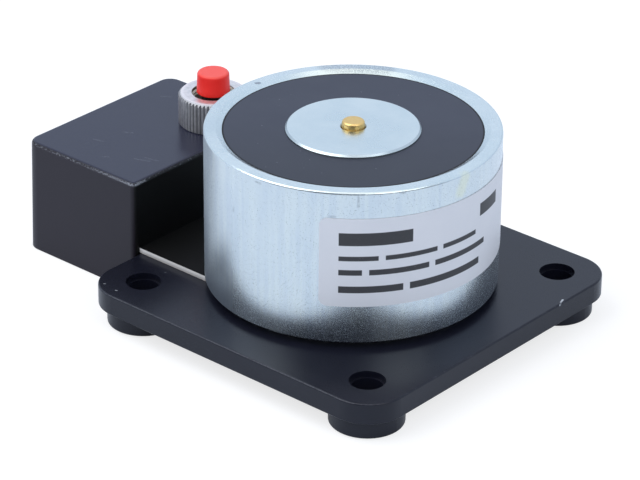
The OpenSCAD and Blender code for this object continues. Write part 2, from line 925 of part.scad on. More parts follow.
module button_plunger() {
    color("#26262a")
        at_button()
            rotate_extrude()
                polygon([
                    [0, bridge_top - stem_tip],
                    [stem_tip_r, bridge_top - stem_tip],
                    [stem_tip_r, bridge_top],
                    [stem_r, bridge_top],
                    [stem_r, collar_low],
                    [collar_r, collar_low],
                    [collar_r, collar_top],
                    [plunger_r, collar_top],
                    [plunger_r, button_low],
                    [plunger_tip_r, button_low],
                    [plunger_tip_r, button_low + plunger_tip],
                    [0, button_low + plunger_tip]
                ]);
}

module contact_bridge() {
    color("#c8b067")
        at_button()
            difference() {
                translate([-bridge_half, -bridge_wide / 2, bridge_low])
                    cube([2 * bridge_half, bridge_wide, bridge_thick]);
                translate([0, 0, bridge_low - cut])
                    cylinder(r = stem_tip_r + touch_gap, h = bridge_thick + 2 * cut);
            }
}

module switch_contacts() {
    leg_in = contact_out - contact_thick;
    color("#c8b067")
        at_contacts()
            union() {
                translate([contact_in, -contact_wide / 2, bridge_top])
                    cube([contact_out - contact_in, contact_wide, contact_thick]);
                translate([leg_in, -contact_wide / 2, switch_inside])
                    cube([contact_thick, contact_wide, bridge_top - switch_inside + contact_thick]);
                translate([leg_in, -contact_tail_wide / 2, plate_top - contact_tail])
                    cube([contact_thick, contact_tail_wide, switch_inside - plate_top + contact_tail + cut]);
            }
}

module button_spring() {
    color("#9a9da1")
        at_button()
            coil_spring(stem_r, button_wire / 2, switch_inside + touch_gap, bridge_low - touch_gap,
                button_spring_turns);
}

module ring_nut() {
    tip = nut_dia / 2;
    root = tip - nut_ridge_deep;
    steps = 4 * nut_ridges;
    knurl = [
        for (i = [0:steps - 1])
            let (r = i % 4 < 2 ? tip : root)
            r * [cos(360 * i / steps), sin(360 * i / steps)]
    ];
    color("#c5c8d0")
        at_button()
            translate([0, 0, cover_high])
                difference() {
                    intersection() {
                        linear_extrude(nut_high)
                            polygon(knurl);
                        rotate_extrude()
                            polygon([
                                [0, 0],
                                [tip - nut_cut / 2, 0],
                                [tip + cut, nut_cut / 2 + cut],
                                [tip + cut, nut_high - nut_cut - cut],
                                [tip - nut_cut, nut_high],
                                [0, nut_high]
                            ]);
                    }
                    translate([0, 0, -cut])
                        cylinder(r = bush_r + touch_gap, h = nut_high + 2 * cut);
                }
}

base_plate();
fixing_screw();
circuit_board();
magnet_pot();
core_pole();
coil_bobbin();
coil_winding();
coil_leads();
lead_sleeves();
potting_resin();
ejector_pin();
ejector_spring();
pot_label();
terminal_cover();
terminal_block();
terminal_clamps();
terminal_screws();
suppressor_diode();
switch_housing();
switch_bush();
push_button();
button_plunger();
contact_bridge();
switch_contacts();
button_spring();
ring_nut();
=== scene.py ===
# %% [markdown]
# # Dressing a holding electromagnet
# A pot magnet like this holds a door open until its current is cut. The construction comes packed as
# fixed meshes, one for each piece, in metres, with the wall in the plane z = 0 and the pot's axis on z.
# This lesson leaves those shapes where they are and gives each surface the finish that the real one has.

# %% Load the construction
import json
import math

import bpy
from mathutils import Matrix, Vector

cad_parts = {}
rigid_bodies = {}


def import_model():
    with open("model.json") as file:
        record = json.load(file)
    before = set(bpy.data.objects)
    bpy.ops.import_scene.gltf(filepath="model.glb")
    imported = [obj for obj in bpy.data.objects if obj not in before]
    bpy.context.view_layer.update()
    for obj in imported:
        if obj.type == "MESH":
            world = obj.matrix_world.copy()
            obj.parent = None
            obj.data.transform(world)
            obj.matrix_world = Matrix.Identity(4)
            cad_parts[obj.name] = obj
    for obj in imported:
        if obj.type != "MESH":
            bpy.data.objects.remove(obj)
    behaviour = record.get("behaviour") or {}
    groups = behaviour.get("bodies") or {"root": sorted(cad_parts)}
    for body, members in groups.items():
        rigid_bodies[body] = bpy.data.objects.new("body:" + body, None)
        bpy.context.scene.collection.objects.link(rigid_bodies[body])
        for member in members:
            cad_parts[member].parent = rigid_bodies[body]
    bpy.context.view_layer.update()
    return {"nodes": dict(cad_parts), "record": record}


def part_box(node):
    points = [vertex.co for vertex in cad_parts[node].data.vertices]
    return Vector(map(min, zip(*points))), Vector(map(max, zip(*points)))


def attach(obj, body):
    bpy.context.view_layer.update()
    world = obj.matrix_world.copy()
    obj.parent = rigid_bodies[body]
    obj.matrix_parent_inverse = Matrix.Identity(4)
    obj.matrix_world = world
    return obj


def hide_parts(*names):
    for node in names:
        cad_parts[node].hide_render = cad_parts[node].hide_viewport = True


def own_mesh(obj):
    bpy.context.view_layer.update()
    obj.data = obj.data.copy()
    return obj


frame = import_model()
nodes = frame["nodes"]
MM = 0.001

# %% [markdown]
# ## The camera
# A catalogue portrait is taken from some way off with a long lens, so that upright edges stay nearly
# parallel. The view is given by the point looked at, two angles, a slight roll and the distance. A Track To
# constraint would aim the camera as well, but it can't roll, so the three axes are written out instead.

# %% Set up the camera
LOOK_AT = Vector((-5.264, -4.577, 18.548)) * MM
AZIMUTH, ELEVATION, ROLL = (math.radians(angle) for angle in (41.002, 27.600, 0.538))
DISTANCE = 711.06 * MM
LENS_MM, SENSOR_MM = 181.42, 36.0
CLIP_NEAR, CLIP_FAR = 0.05, 20.0


def direction(azimuth, elevation):
    """The way from the object to a viewer who stands at two angles."""
    flat = math.cos(elevation)
    return Vector((math.sin(azimuth) * flat, -math.cos(azimuth) * flat, math.sin(elevation)))


def add_object(name, data):
    """A new object in the scene."""
    made = bpy.data.objects.new(name, data)
    bpy.context.scene.collection.objects.link(made)
    return made


back = direction(AZIMUTH, ELEVATION)
level = Vector((math.cos(AZIMUTH), math.sin(AZIMUTH), 0.0))
upright = back.cross(level)
right = level * math.cos(ROLL) + upright * math.sin(ROLL)
up = upright * math.cos(ROLL) - level * math.sin(ROLL)

lens = bpy.data.cameras.new("portrait_lens")
lens.lens, lens.sensor_width = LENS_MM, SENSOR_MM
lens.clip_start, lens.clip_end = CLIP_NEAR, CLIP_FAR
camera = add_object("portrait_camera", lens)
turned = Matrix((right, up, back)).transposed().to_4x4()
camera.matrix_world = Matrix.Translation(LOOK_AT + back * DISTANCE) @ turned
bpy.context.scene.camera = camera
print("camera at", [round(c / MM) for c in camera.matrix_world.translation], "mm")

# %% [markdown]
# ## Shader sums as Python
# A finish is mostly arithmetic: a scratch mask times a grain, one minus an edge. Wiring every Math node by
# hand hides that, so one small class wraps a socket and turns each operator into a Math node. Colours don't
# go through it, because a Math node would turn them grey: they are mixed by `blend`.

# %% A socket that joins in sums
def plug(socket, value):
    """Links a wire to a socket, or sets the socket's own value."""
    if isinstance(value, Wire):
        socket.id_data.links.new(value.socket, socket)
    elif socket.type == "RGBA":
        socket.default_value = (*value, 1.0)
    else:
        socket.default_value = value


class Wire:
    """A socket that takes part in Python sums."""

    def __init__(self, socket):
        self.socket = socket

    @classmethod
    def start(cls, tree, kind, out):
        """The first wire in a tree, from a node that needs no inputs."""
        return cls(tree.nodes.new(kind).outputs[out])

    def node(self, kind, settings, sockets, out=0):
        """Adds a node of any kind: its settings first, then its sockets' values or links."""
        made = self.socket.id_data.nodes.new(kind)
        for name, value in settings.items():
            setattr(made, name, value)
        for key, value in sockets.items():
            plug(made.inputs[key], value)
        return Wire(made.outputs[out])

    def maths(self, operation, first, second=0.0):
        """Adds a Math node, with a wire or a number in either place."""
        return self.node("ShaderNodeMath", {"operation": operation}, {0: first, 1: second})

    def __add__(self, other):
        return self.maths("ADD", self, other)

    def __sub__(self, other):
        return self.maths("SUBTRACT", self, other)

    def __rsub__(self, other):
        return self.maths("SUBTRACT", other, self)

    def __mul__(self, other):
        return self.maths("MULTIPLY", self, other)

    def __pow__(self, other):
        return self.maths("POWER", self, other)

    def __abs__(self):
        return self.maths("ABSOLUTE", self)

    __radd__, __rmul__ = __add__, __mul__


print("sums ready, with", len([name for name in vars(Wire) if name.startswith("__r")]), "reflected operators")

# %% [markdown]
# A few steps come up in every finish: a soft mask, a mix of colours, and the coordinates of a place. The mask
# is one smooth step. Given its limits in falling order it runs the other way, which saves a subtraction.

# %% Masks, mixes and places
def fade(value, low, high):
    """A smooth step from 0 at low to 1 at high."""
    return value.node(
        "ShaderNodeMapRange",
        {"interpolation_type": "SMOOTHSTEP"},
        {"Value": value, "From Min": low, "From Max": high},
    )


def strip(value, low, high, soft):
    """A mask of all values from low to high, with edges that are soft by so much to both sides."""
    half = (high - low) / 2
    return fade(abs(value - (low + high) / 2), half + soft, half - soft)


def larger(first, second):
    """The larger of two masks at each point."""
    return first.maths("MAXIMUM", first, second)


def blend(share, first, second):
    """The first colour, turning into the second as the share goes from 0 to 1."""
    return share.node("ShaderNodeMix", {"data_type": "RGBA"}, {0: share, 6: first, 7: second}, out=2)


def axes(place):
    """The three coordinates of a place."""
    split = place.node("ShaderNodeSeparateXYZ", {}, {0: place}).socket.node
    return [Wire(split.outputs[i]) for i in range(3)]


print("masks, mixes and places ready")

# %% [markdown]
# ## The table
# The object stands on a plain white table. A floor that is only lit would come out grey, so for the camera
# the floor also glows a little, which lifts it to white and leaves the soft shadow in. It doesn't glow inside
# the hollow cover, where no light falls, and it is clear from below, so that the underside can be looked at.

# %% Trees, rays and glowing surfaces
WHITE = (1.0, 1.0, 1.0)


def open_tree(owner):
    """Clears a material's or world's nodes and returns its tree and the socket of its output."""
    owner.use_nodes = True
    tree = owner.node_tree
    tree.nodes.clear()
    kind = "ShaderNodeOutputWorld" if isinstance(owner, bpy.types.World) else "ShaderNodeOutputMaterial"
    return tree, tree.nodes.new(kind).inputs["Surface"]


def seen_by(tree):
    """Two masks: rays straight from the camera, and rays mirrored by metal or bent by glass."""
    straight = Wire.start(tree, "ShaderNodeLightPath", "Is Camera Ray")
    path = straight.socket.node.outputs
    return straight, larger(Wire(path["Is Glossy Ray"]), Wire(path["Is Transmission Ray"]))


def lit_and_glowing(start, tint, glow):
    """A matt surface of one tint that also glows."""
    matt = start.node("ShaderNodeBsdfDiffuse", {}, {"Color": tint})
    shine = start.node("ShaderNodeEmission", {}, {"Color": WHITE, "Strength": glow})
    return start.node("ShaderNodeAddShader", {}, {0: matt, 1: shine})


def either(share, first, second):
    """The first shader, turning into the second as the share goes from 0 to 1."""
    return share.node("ShaderNodeMixShader", {}, {0: share, 1: first, 2: second})


print("surfaces can be lit, glow and tell rays apart")

# %% Table top
FLOOR_HALF, FLOOR_DROP = 3.0, 0.0002
FLOOR_CORNERS = ((-1, -1), (1, -1), (1, 1), (-1, 1))
TABLE_TINT, TABLE_MIRROR_GLOW = (0.72, 0.78, 0.86), 0.2
SEEN_TINT, SEEN_GLOW = (0.36, 0.36, 0.36), 0.74
HOLLOW_SOFT = 0.0015
table_finish = bpy.data.materials.new("white_table")
tree, surface = open_tree(table_finish)
straight, mirrored = seen_by(tree)
x, y, _ = axes(Wire.start(tree, "ShaderNodeTexCoord", "Object"))
hollow_low, hollow_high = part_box("terminal_cover")
within_x = strip(x, hollow_low.x + HOLLOW_SOFT, hollow_high.x - HOLLOW_SOFT, HOLLOW_SOFT)
within_y = strip(y, hollow_low.y + HOLLOW_SOFT, hollow_high.y - HOLLOW_SOFT, HOLLOW_SOFT)
table = lit_and_glowing(straight, TABLE_TINT, mirrored * TABLE_MIRROR_GLOW)
shown = lit_and_glowing(straight, SEEN_TINT, (1.0 - within_x * within_y) * SEEN_GLOW)
clear = straight.node("ShaderNodeBsdfTransparent", {}, {"Color": WHITE})
from_below = straight.node("ShaderNodeNewGeometry", {}, {}, out="Backfacing")
plug(surface, either(from_below, either(straight, table, shown), clear))

floor_mesh = bpy.data.meshes.new("table_top")
corners = [(x * FLOOR_HALF, y * FLOOR_HALF, -FLOOR_DROP) for x, y in FLOOR_CORNERS]
floor_mesh.from_pydata(corners, [], [(0, 1, 2, 3)])
floor_mesh.materials.append(table_finish)
floor = add_object("table_top", floor_mesh)
print("table", 2 * FLOOR_HALF, "m wide")

# %% [markdown]
# ## The room
# Polished zinc is mostly what it mirrors, so the room matters more than the lamps. Rays that bounce off metal
# see a cool white backdrop behind the object, a little dimmer near the skyline, a bright ceiling, and a dim
# end in front, as a studio has behind its camera. The camera itself sees plain white. A picture of a studio
# could be wrapped round instead, but a few soft steps by height and direction are enough.

# %% White room
ROOM_LIGHT = 0.5
BACKDROP, DIM_END = (0.86, 0.98, 1.20), (0.06, 0.065, 0.08)
SKYLINE, CEILING = (0.70, 0.83, 1.04), (1.45, 1.48, 1.52)
SKYLINE_UNDER, CEILING_OVER = (0.44, 0.15), (0.88, 0.97)
DIM_IN_FRONT, DIM_UNDER = (0.1, 0.6), (0.85, 0.6)
room = bpy.data.worlds.new("white_room")
bpy.context.scene.world = room
tree, surface = open_tree(room)
straight, mirrored = seen_by(tree)
x, y, height = axes(Wire.start(tree, "ShaderNodeTexCoord", "Generated"))
in_front = level.y * x - level.x * y
dim = fade(in_front, *DIM_IN_FRONT) * fade(height, *DIM_UNDER) * mirrored
strength = (1.0 - ROOM_LIGHT) * larger(straight, mirrored) + ROOM_LIGHT
backdrop = blend(fade(height, *SKYLINE_UNDER), BACKDROP, SKYLINE)
backdrop = blend(fade(height, *CEILING_OVER), backdrop, CEILING)
colour = blend(straight, blend(dim, backdrop, DIM_END), WHITE)
plug(surface, straight.node("ShaderNodeBackground", {}, {"Color": colour, "Strength": strength}))
bpy.context.scene.view_settings.view_transform = "Standard"
print(room.name, "has", len(tree.nodes), "nodes")

# %% [markdown]
# Two soft boxes give the shadows a direction: a key light from the left and a weaker fill from the right. Sun
# lamps would do it too, but their hard shadows would show every edge twice.

# %% Lamps
LAMP_DISTANCE = 1.3


def softbox(name, azimuth, elevation, width, watts, tint):
    """A square lamp that looks at the object from two angles, as a camera would be placed."""
    lamp = bpy.data.lights.new(name, "AREA")
    lamp.shape, lamp.size = "SQUARE", width
    lamp.energy, lamp.color = watts, tint
    towards = direction(math.radians(azimuth), math.radians(elevation))
    turned = towards.to_track_quat("Z", "Y").to_matrix().to_4x4()
    made = add_object(name, lamp)
    made.matrix_world = Matrix.Translation(LOOK_AT + towards * LAMP_DISTANCE) @ turned
    print(name, watts, "W")


softbox("key_softbox", azimuth=-35, elevation=52, width=1.1, watts=9.5, tint=(0.97, 0.98, 1.0))
softbox("fill_softbox", azimuth=80, elevation=40, width=0.8, watts=4.0, tint=(0.95, 0.97, 1.0))

# %% [markdown]
# ## Tools for finishes
# Noise and masks could be read in generated coordinates, which stretch with a piece's box. Here they are read
# in the construction's own millimetres, so a grain of 3 to the millimetre is that on every piece, and a
# scratch is placed by the same numbers as a hole. A tint is built up like coats of paint, one over another,
# each with a mask that says how much of it shows.

# %% A fresh finish
def finish(name):
    """A new material: the material, its shader and the place on the piece in millimetres."""
    material = bpy.data.materials.new(name)
    tree, surface = open_tree(material)
    spot = Wire.start(tree, "ShaderNodeTexCoord", "Object")
    place = spot.node("ShaderNodeVectorMath", {"operation": "SCALE"}, {0: spot, "Scale": 1 / MM})
    look = spot.node("ShaderNodeBsdfPrincipled", {}, {})
    plug(surface, look)
    return material, look.socket.node, place


def give(shader, **sockets):
    """Sets or links a shader's sockets, whose names are written with _ for a space."""
    for name, value in sockets.items():
        plug(shader.inputs[name.replace("_", " ")], value)


def layered(colour, *layers):
    """A colour under others, each given with the share of it that shows."""
    for share, upper in layers:
        colour = blend(share, colour, upper)
    return colour


def dress(material, *names):
    """Gives construction pieces their finish."""
    for name in names:
        nodes[name].data.materials.clear()
        nodes[name].data.materials.append(material)
    print(material.name, "on", ", ".join(names))


print("finishes ready for", len(nodes), "pieces")

# %% [markdown]
# Grain gives a surface its tooth and its clouds, and a bump turns grain into tilted light. Single scratches
# and stains are strokes between two points. Painting them on an image would need an unwrapped mesh, while the
# distance from a line needs nothing but the place itself.

# %% Grain and bumps
MICRON = 0.000001


def grain(place, per_mm, detail=2.0, rough=0.5):
    """Noise from 0 to 1, with that many grains to the millimetre."""
    sockets = {"Vector": place, "Scale": per_mm, "Detail": detail, "Roughness": rough}
    return place.node("ShaderNodeTexNoise", {}, sockets)


def bump(height, microns):
    """A normal from a height of 0 to 1 that stands for that many thousandths of a millimetre."""
    sockets = {"Strength": 1.0, "Distance": microns * MICRON, "Height": height}
    return height.node("ShaderNodeBump", {}, sockets)


def facing(place):
    """How far each point of the surface faces along +x, +y and up, from -1 to 1."""
    return axes(place.node("ShaderNodeNewGeometry", {}, {}, out="Normal"))


print("grain and bumps ready, in steps of", MICRON, "m")

# %% Strokes
STROKE_CORE = 0.3


def vector(place, operation, other, out=0):
    """One step of vector arithmetic."""
    return place.node("ShaderNodeVectorMath", {"operation": operation}, {0: place, 1: other}, out=out)


def stroke(place, start, end):
    """Distance in millimetres from a straight line between two points."""
    run = Vector(end) - Vector(start)
    from_start = vector(place, "SUBTRACT", start)
    along = vector(from_start, "DOT_PRODUCT", tuple(run / run.length_squared), out="Value")
    held = along.node("ShaderNodeClamp", {}, {"Value": along})
    reached = held.node("ShaderNodeVectorMath", {"operation": "SCALE"}, {0: tuple(run), "Scale": held})
    return vector(from_start, "DISTANCE", reached, out="Value")


def marks(place, strokes, wide, waver):
    """A mask of strokes of one width, their edges broken up by a waver."""
    found = None
    for start, end in strokes:
        mask = fade(stroke(place, start, end) + waver, wide, wide * STROKE_CORE)
        found = mask if found is None else larger(found, mask)
    return found


print("strokes ready, full over", STROKE_CORE, "of their width")

# %% [markdown]
# ## The pot and its pole
# Both are steel under bright zinc, which is bluish, satin and full of tiny crystals. Each crystal tilts the
# mirror a little, so dark reflections break up into sparkle. A rough metal alone would blur without sparkle,
# so a fine grain tilts the normal, a few crystals are rougher than the rest, and a slower grain changes
# roughness and tint in patches. The pot was drawn from sheet, which left faint upright streaks in its tint.

# %% Bright zinc
FACE_DEEP, FACE_PALE = (0.57, 0.65, 0.65), (0.67, 0.73, 0.71)
WALL_DEEP, WALL_PALE = (0.58, 0.65, 0.69), (0.66, 0.72, 0.72)
UPRIGHT_STREAK = (1.0, 1.0, 0.05)


def zinc(name, crystal_microns, low_rough, sparkle):
    """Zinc without marks: material, shader, place, a tint for faces, another for walls, and roughness."""
    material, shader, place = finish(name)
    patches = grain(place, 0.09, detail=4.0, rough=0.6)
    crystals = grain(place, 4.2, detail=1.0, rough=0.6)
    fine = grain(place, 8.0, detail=1.0)
    streaks = grain(vector(place, "MULTIPLY", UPRIGHT_STREAK), 0.8, detail=3.0, rough=0.6)
    face = blend(fade(patches + 0.35 * crystals, 0.45, 0.95), FACE_DEEP, FACE_PALE)
    wall = blend(fade(0.5 * patches + streaks, 0.5, 1.0), WALL_DEEP, WALL_PALE)
    rough = low_rough + 0.06 * patches + sparkle * fade(crystals + 0.4 * fine, 0.83, 0.95)
    give(shader, Metallic=1.0, Roughness=rough, Normal=bump(crystals + 0.35 * fine, crystal_microns))
    return material, shader, place, face, wall, rough


print("zinc ready")

# %% [markdown]
# The pot has marks of its own: short scratches under the rim, a dark spot and a dull arc on the rim, and a
# yellow run of passivation. Its foot is darkened with painted shade and a painted dark reflection of the
# plate, most of all at two ends, and a matt stripe up one side carries dark flecks of painted reflection.
# Over all lies a thin clear layer, a rough coat that lifts the edges seen at a low angle. It could be mixed
# in by hand, but the shader has one.

# %% Where the pot's marks lie
def box_mm(name):
    """A piece's lowest and highest corners in millimetres."""
    return [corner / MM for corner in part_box(name)]


# The foot tint is painted shade and a painted dark reflection of the plate. The stain tint is real staining
# on the pot and painted shade on the pole's edge.
STAIN_AND_SHADE, YELLOW_STAIN, FOOT_SHADE = (0.16, 0.18, 0.21), (0.72, 0.74, 0.52), (0.24, 0.29, 0.35)
POT_FOOT, POT_RIM = (corner.z for corner in box_mm("magnet_pot"))
SHADE_TO, SHADE_FROM = POT_FOOT + 8.0, POT_FOOT + 1.0
SCRATCH_WIDE, SPOT_WIDE, ARC_WIDE, RUN_WIDE, END_WIDE, MATT_WIDE = 0.42, 0.75, 3.2, 2.2, 16.0, 24.0
POT_SCRATCHES = [
    ((22.0, -23.9, 43.4), (22.0, -23.9, 45.6)),
    ((1.0, -32.5, 45.4), (2.2, -32.4, 45.3)),
    ((27.7, -17.0, 46.0), (28.2, -16.2, 46.0)),
    ((17.2, -27.6, 40.9), (18.2, -26.9, 40.9)),
    ((-6.0, -32.0, 36.5), (-6.0, -32.0, 35.9)),
]
RIM_SPOT = [((-30.3, 2.2, POT_RIM), (-30.0, 2.6, POT_RIM))]
DULL_ARC = [((-24.5, 19.5, POT_RIM), (-14.0, 27.5, POT_RIM))]
YELLOW_RUN = [((32.4, -2.8, 42.6), (32.45, -1.6, 45.4))]
# Strokes of painted shade at the two ends of the foot, and a matt side that also carries painted dark
# reflection.
SHADED_FOOT_ENDS = [((-22.0, -24.0, 8.0), (-24.5, -21.3, 16.0)), ((30.3, 11.6, 8.0), (25.0, 20.8, 12.0))]
MATT_DARK_SIDE = [((-24.5, -21.3, 10.0), (-24.5, -21.3, 34.0))]
print(len(POT_SCRATCHES), "scratches on a pot from", round(POT_FOOT, 1), "to", round(POT_RIM, 1), "mm")

# %% Lay the marks over the pot's zinc
pot_zinc, shader, place, face, wall, rough = zinc(
    "pot_zinc", crystal_microns=10.0, low_rough=0.235, sparkle=0.75
)
level_face = fade(facing(place)[2], 0.3, 0.8)
waver = 0.25 * grain(place, 2.5, detail=3.0) - 0.12
scratched = marks(place, POT_SCRATCHES, SCRATCH_WIDE, waver) * fade(grain(place, 5.0), 0.25, 0.7)
spot = marks(place, RIM_SPOT, SPOT_WIDE, 2.0 * waver)
dull = marks(place, DULL_ARC, ARC_WIDE, 2.0 * waver) * fade(grain(place, 5.5), 0.38, 0.62)
matt = marks(place, MATT_DARK_SIDE, MATT_WIDE, waver)
# Dark flecks for the painted reflection on the matt side.
reflection_flecks = fade(grain(place, 3.4, detail=1.0), 0.5, 0.36)
tint = layered(
    blend(level_face, wall, face),
    # Painted shade and painted dark reflection at the foot, up the matt side and at the foot's two ends.
    (0.45 * fade(axes(place)[2], SHADE_TO, SHADE_FROM), FOOT_SHADE),
    (0.4 * matt * reflection_flecks, FOOT_SHADE),
    (0.45 * marks(place, SHADED_FOOT_ENDS, END_WIDE, waver), FOOT_SHADE),
    (0.5 * marks(place, YELLOW_RUN, RUN_WIDE, 6.0 * waver), YELLOW_STAIN),
    (0.7 * dull, STAIN_AND_SHADE),
    (larger(0.55 * scratched, 0.8 * spot), STAIN_AND_SHADE),
)
rough = rough + 0.17 * matt - 0.1 * level_face
give(shader, Base_Color=tint, Roughness=rough, Coat_Weight=0.9, Coat_Roughness=0.55)
dress(pot_zinc, "magnet_pot")

# %% [markdown]
# The pole was faced on a lathe before it was plated, so its tint has faint rings. Cut grooves would be far
# finer than the mesh, so noise read along the radius alone draws the rings: all points at one distance from
# the axis get the same value. The bevelled edge and the side below it are darkened with painted shade.

# %% The pole's turned face
def radius_of(place):
    """How far a place lies from the z axis."""
    x, y, _ = axes(place)
    return (x * x + y * y) ** 0.5


pole_zinc, shader, place, face, *_ = zinc("pole_zinc", crystal_microns=8.0, low_rough=0.25, sparkle=0.01)
radius = radius_of(place)
rings = grain(radius.node("ShaderNodeCombineXYZ", {}, {"X": radius}), 4.0, detail=3.0)
# The edge and side of the pole are darkened with painted shade.
shaded_bevel = fade(facing(place)[2], 0.97, 0.85)
give(shader, Base_Color=layered(face, (0.25 * rings, FACE_PALE), (0.3 * shaded_bevel, STAIN_AND_SHADE)))
dress(pole_zinc, "core_pole")

# %% [markdown]
# ## Resin and ejector pin
# The winding is sealed under black resin that was poured and left to set: dead level, with a few specks of
# dust. A plain black would look like a hole, so a painted sheen, standing for the room's reflection, is mixed
# in as a slow slope of tint that grows lighter towards one side, and painted shade darkens the resin in the
# corner where it meets the pot.

# %% Cast resin
RESIN_DARK, RESIN_SHEEN = (0.016, 0.019, 0.030), (0.029, 0.033, 0.053)
DUST, RESIN_CORNER_SHADE = (0.20, 0.21, 0.23), (0.004, 0.004, 0.005)
RESIN_R = box_mm("potting_resin")[1].x
SHEEN_SIDE = math.radians(131.0)
resin, shader, place = finish("cast_resin")
skin = grain(place, 0.12, detail=3.0)
pores = grain(place, 6.0)
x, y, _ = axes(place)
# A painted sheen that grows lighter towards one side.
painted_sheen = fade(math.cos(SHEEN_SIDE) * x + math.sin(SHEEN_SIDE) * y, -RESIN_R, 0.4 * RESIN_R)
# Painted shade in the corner where the resin meets the pot.
corner_shade = fade(radius_of(place), RESIN_R - 0.5, RESIN_R - 0.1)
tint = layered(
    blend(0.8 * painted_sheen + 0.2 * skin, RESIN_DARK, RESIN_SHEEN),
    (fade(grain(place, 1.6, detail=0.0), 0.86, 0.89), DUST),
    (corner_shade, RESIN_CORNER_SHADE),
)
rough = 0.42 + 0.12 * skin + 0.1 * pores + 0.3 * corner_shade
give(shader, Base_Color=tint, Roughness=rough, Normal=bump(pores + 2.0 * skin, 5.0))
dress(resin, "potting_resin")

# %% [markdown]
# The pin in the middle is plain turned brass, rubbed by the plate on the door. Its tool marks run round it on
# the side and in rings on the end, so the noise is read along the height and the radius together.

# %% Turned brass
BRASS_DEEP, BRASS_RUBBED = (0.72, 0.47, 0.15), (0.84, 0.60, 0.26)
brass, shader, place = finish("turned_brass")
height = axes(place)[2]
lathe = grain(height.node("ShaderNodeCombineXYZ", {}, {"X": height, "Y": radius_of(place)}), 5.0, detail=3.0)
rub = grain(place, 1.5, detail=3.0)
tint = blend(rub, BRASS_DEEP, BRASS_RUBBED)
give(shader, Metallic=1.0, Base_Color=tint, Roughness=0.32 + 0.12 * rub, Normal=bump(lathe, 2.5))
dress(brass, "ejector_pin")

# %% [markdown]
# ## The cast plate
# The wall plate is cast metal under satin black paint. The paint pulls thin on the rounded upper edge, where
# it catches light and wears first, and one knock on the edge has gone through to bare metal. Along the front
# edge a painted highlight is laid over that wear. The rounded edge is found by the way it faces, a band
# between flat and upright, which needs no painting of masks and follows the edge wherever it runs.

# %% Black paint over cast metal
def band(value, rise, fall):
    """A mask that rises between two values and falls again between two others."""
    return fade(value, *rise) * fade(value, *fall)


PAINT, PAINT_CLOUD = (0.0056, 0.0060, 0.0112), (0.0092, 0.0100, 0.0190)
PAINT_WORN_AND_HIGHLIGHT, BARE = (0.05, 0.052, 0.065), (0.62, 0.64, 0.67)
PLATE_FRONT, PLATE_TOP = box_mm("base_plate")[0].y, box_mm("base_plate")[1].z
CREST_BACK, CREST_FULL = PLATE_FRONT + 5.25, PLATE_FRONT + 2.25
WORN_FACING, CREST_FACING = ((0.25, 0.55), (0.99, 0.9)), ((0.5, 0.62), (0.92, 0.8))
CHIP_WIDE, SPECK_WIDE = 0.34, 0.17
PLATE_CHIPS = [((42.05, 20.9, 9.15), (41.45, 22.9, PLATE_TOP))]
PLATE_SPECKS = [
    ((-31.9, -26.3, PLATE_TOP), (-31.8, -26.2, PLATE_TOP)),
    ((-38.3, -39.2, PLATE_TOP), (-38.0, -39.0, PLATE_TOP)),
    ((-34.2, -39.6, PLATE_TOP), (-33.8, -39.5, PLATE_TOP)),
]
paint, shader, place = finish("satin_black_paint")
cloud = grain(place, 0.06, detail=3.0)
orange_peel = grain(place, 1.1)
tooth = grain(place, 7.0, detail=1.0)
up_face = facing(place)[2]
worn = band(up_face, *WORN_FACING) * fade(grain(place, 0.7, detail=4.0, rough=0.7), 0.5, 0.72)
# Along the front edge only, a painted highlight.
crest = band(up_face, *CREST_FACING) * fade(axes(place)[1], CREST_BACK, CREST_FULL)
crest = crest * fade(grain(place, 2.2, detail=3.0, rough=0.7), 0.36, 0.6)
waver = 0.3 * grain(place, 3.0, detail=3.0) - 0.15
chip = marks(place, PLATE_CHIPS, CHIP_WIDE, 0.6 * waver)
speck = marks(place, PLATE_SPECKS, SPECK_WIDE, waver)
tint = layered(
    blend(cloud, PAINT, PAINT_CLOUD),
    # Wear on every rounded edge, and the painted highlight on the front one.
    (larger(0.7 * worn, crest), PAINT_WORN_AND_HIGHLIGHT),
    (larger(chip, 0.5 * speck), BARE),
)
rough = 0.22 + 0.06 * cloud + 0.08 * tooth
relief = bump(orange_peel + 0.4 * tooth - 2.0 * chip, 5.0)
give(shader, Base_Color=tint, Specular_IOR_Level=0.3, Roughness=rough, Normal=relief)
dress(paint, "base_plate")

# %% [markdown]
# ## The terminal cover
# The cover is moulded black plastic with a fine eroded texture from its mould. The roof is rubbed smoother
# than the walls and mirrors the room more sharply, and a bluish painted sheen in its tint stands for that
# reflection as well. Painted shade makes the wall towards the pot the deepest black, and a dark line of
# painted shade runs along the upper edges. Handling has scuffed the upper edges pale, most of all at the
# front and at the corner by the plate, and the pale line there is a painted highlight as well; handling has
# also left faint scratches on the roof. As on the plate, facing tells edges from flats, with no mask to
# paint.

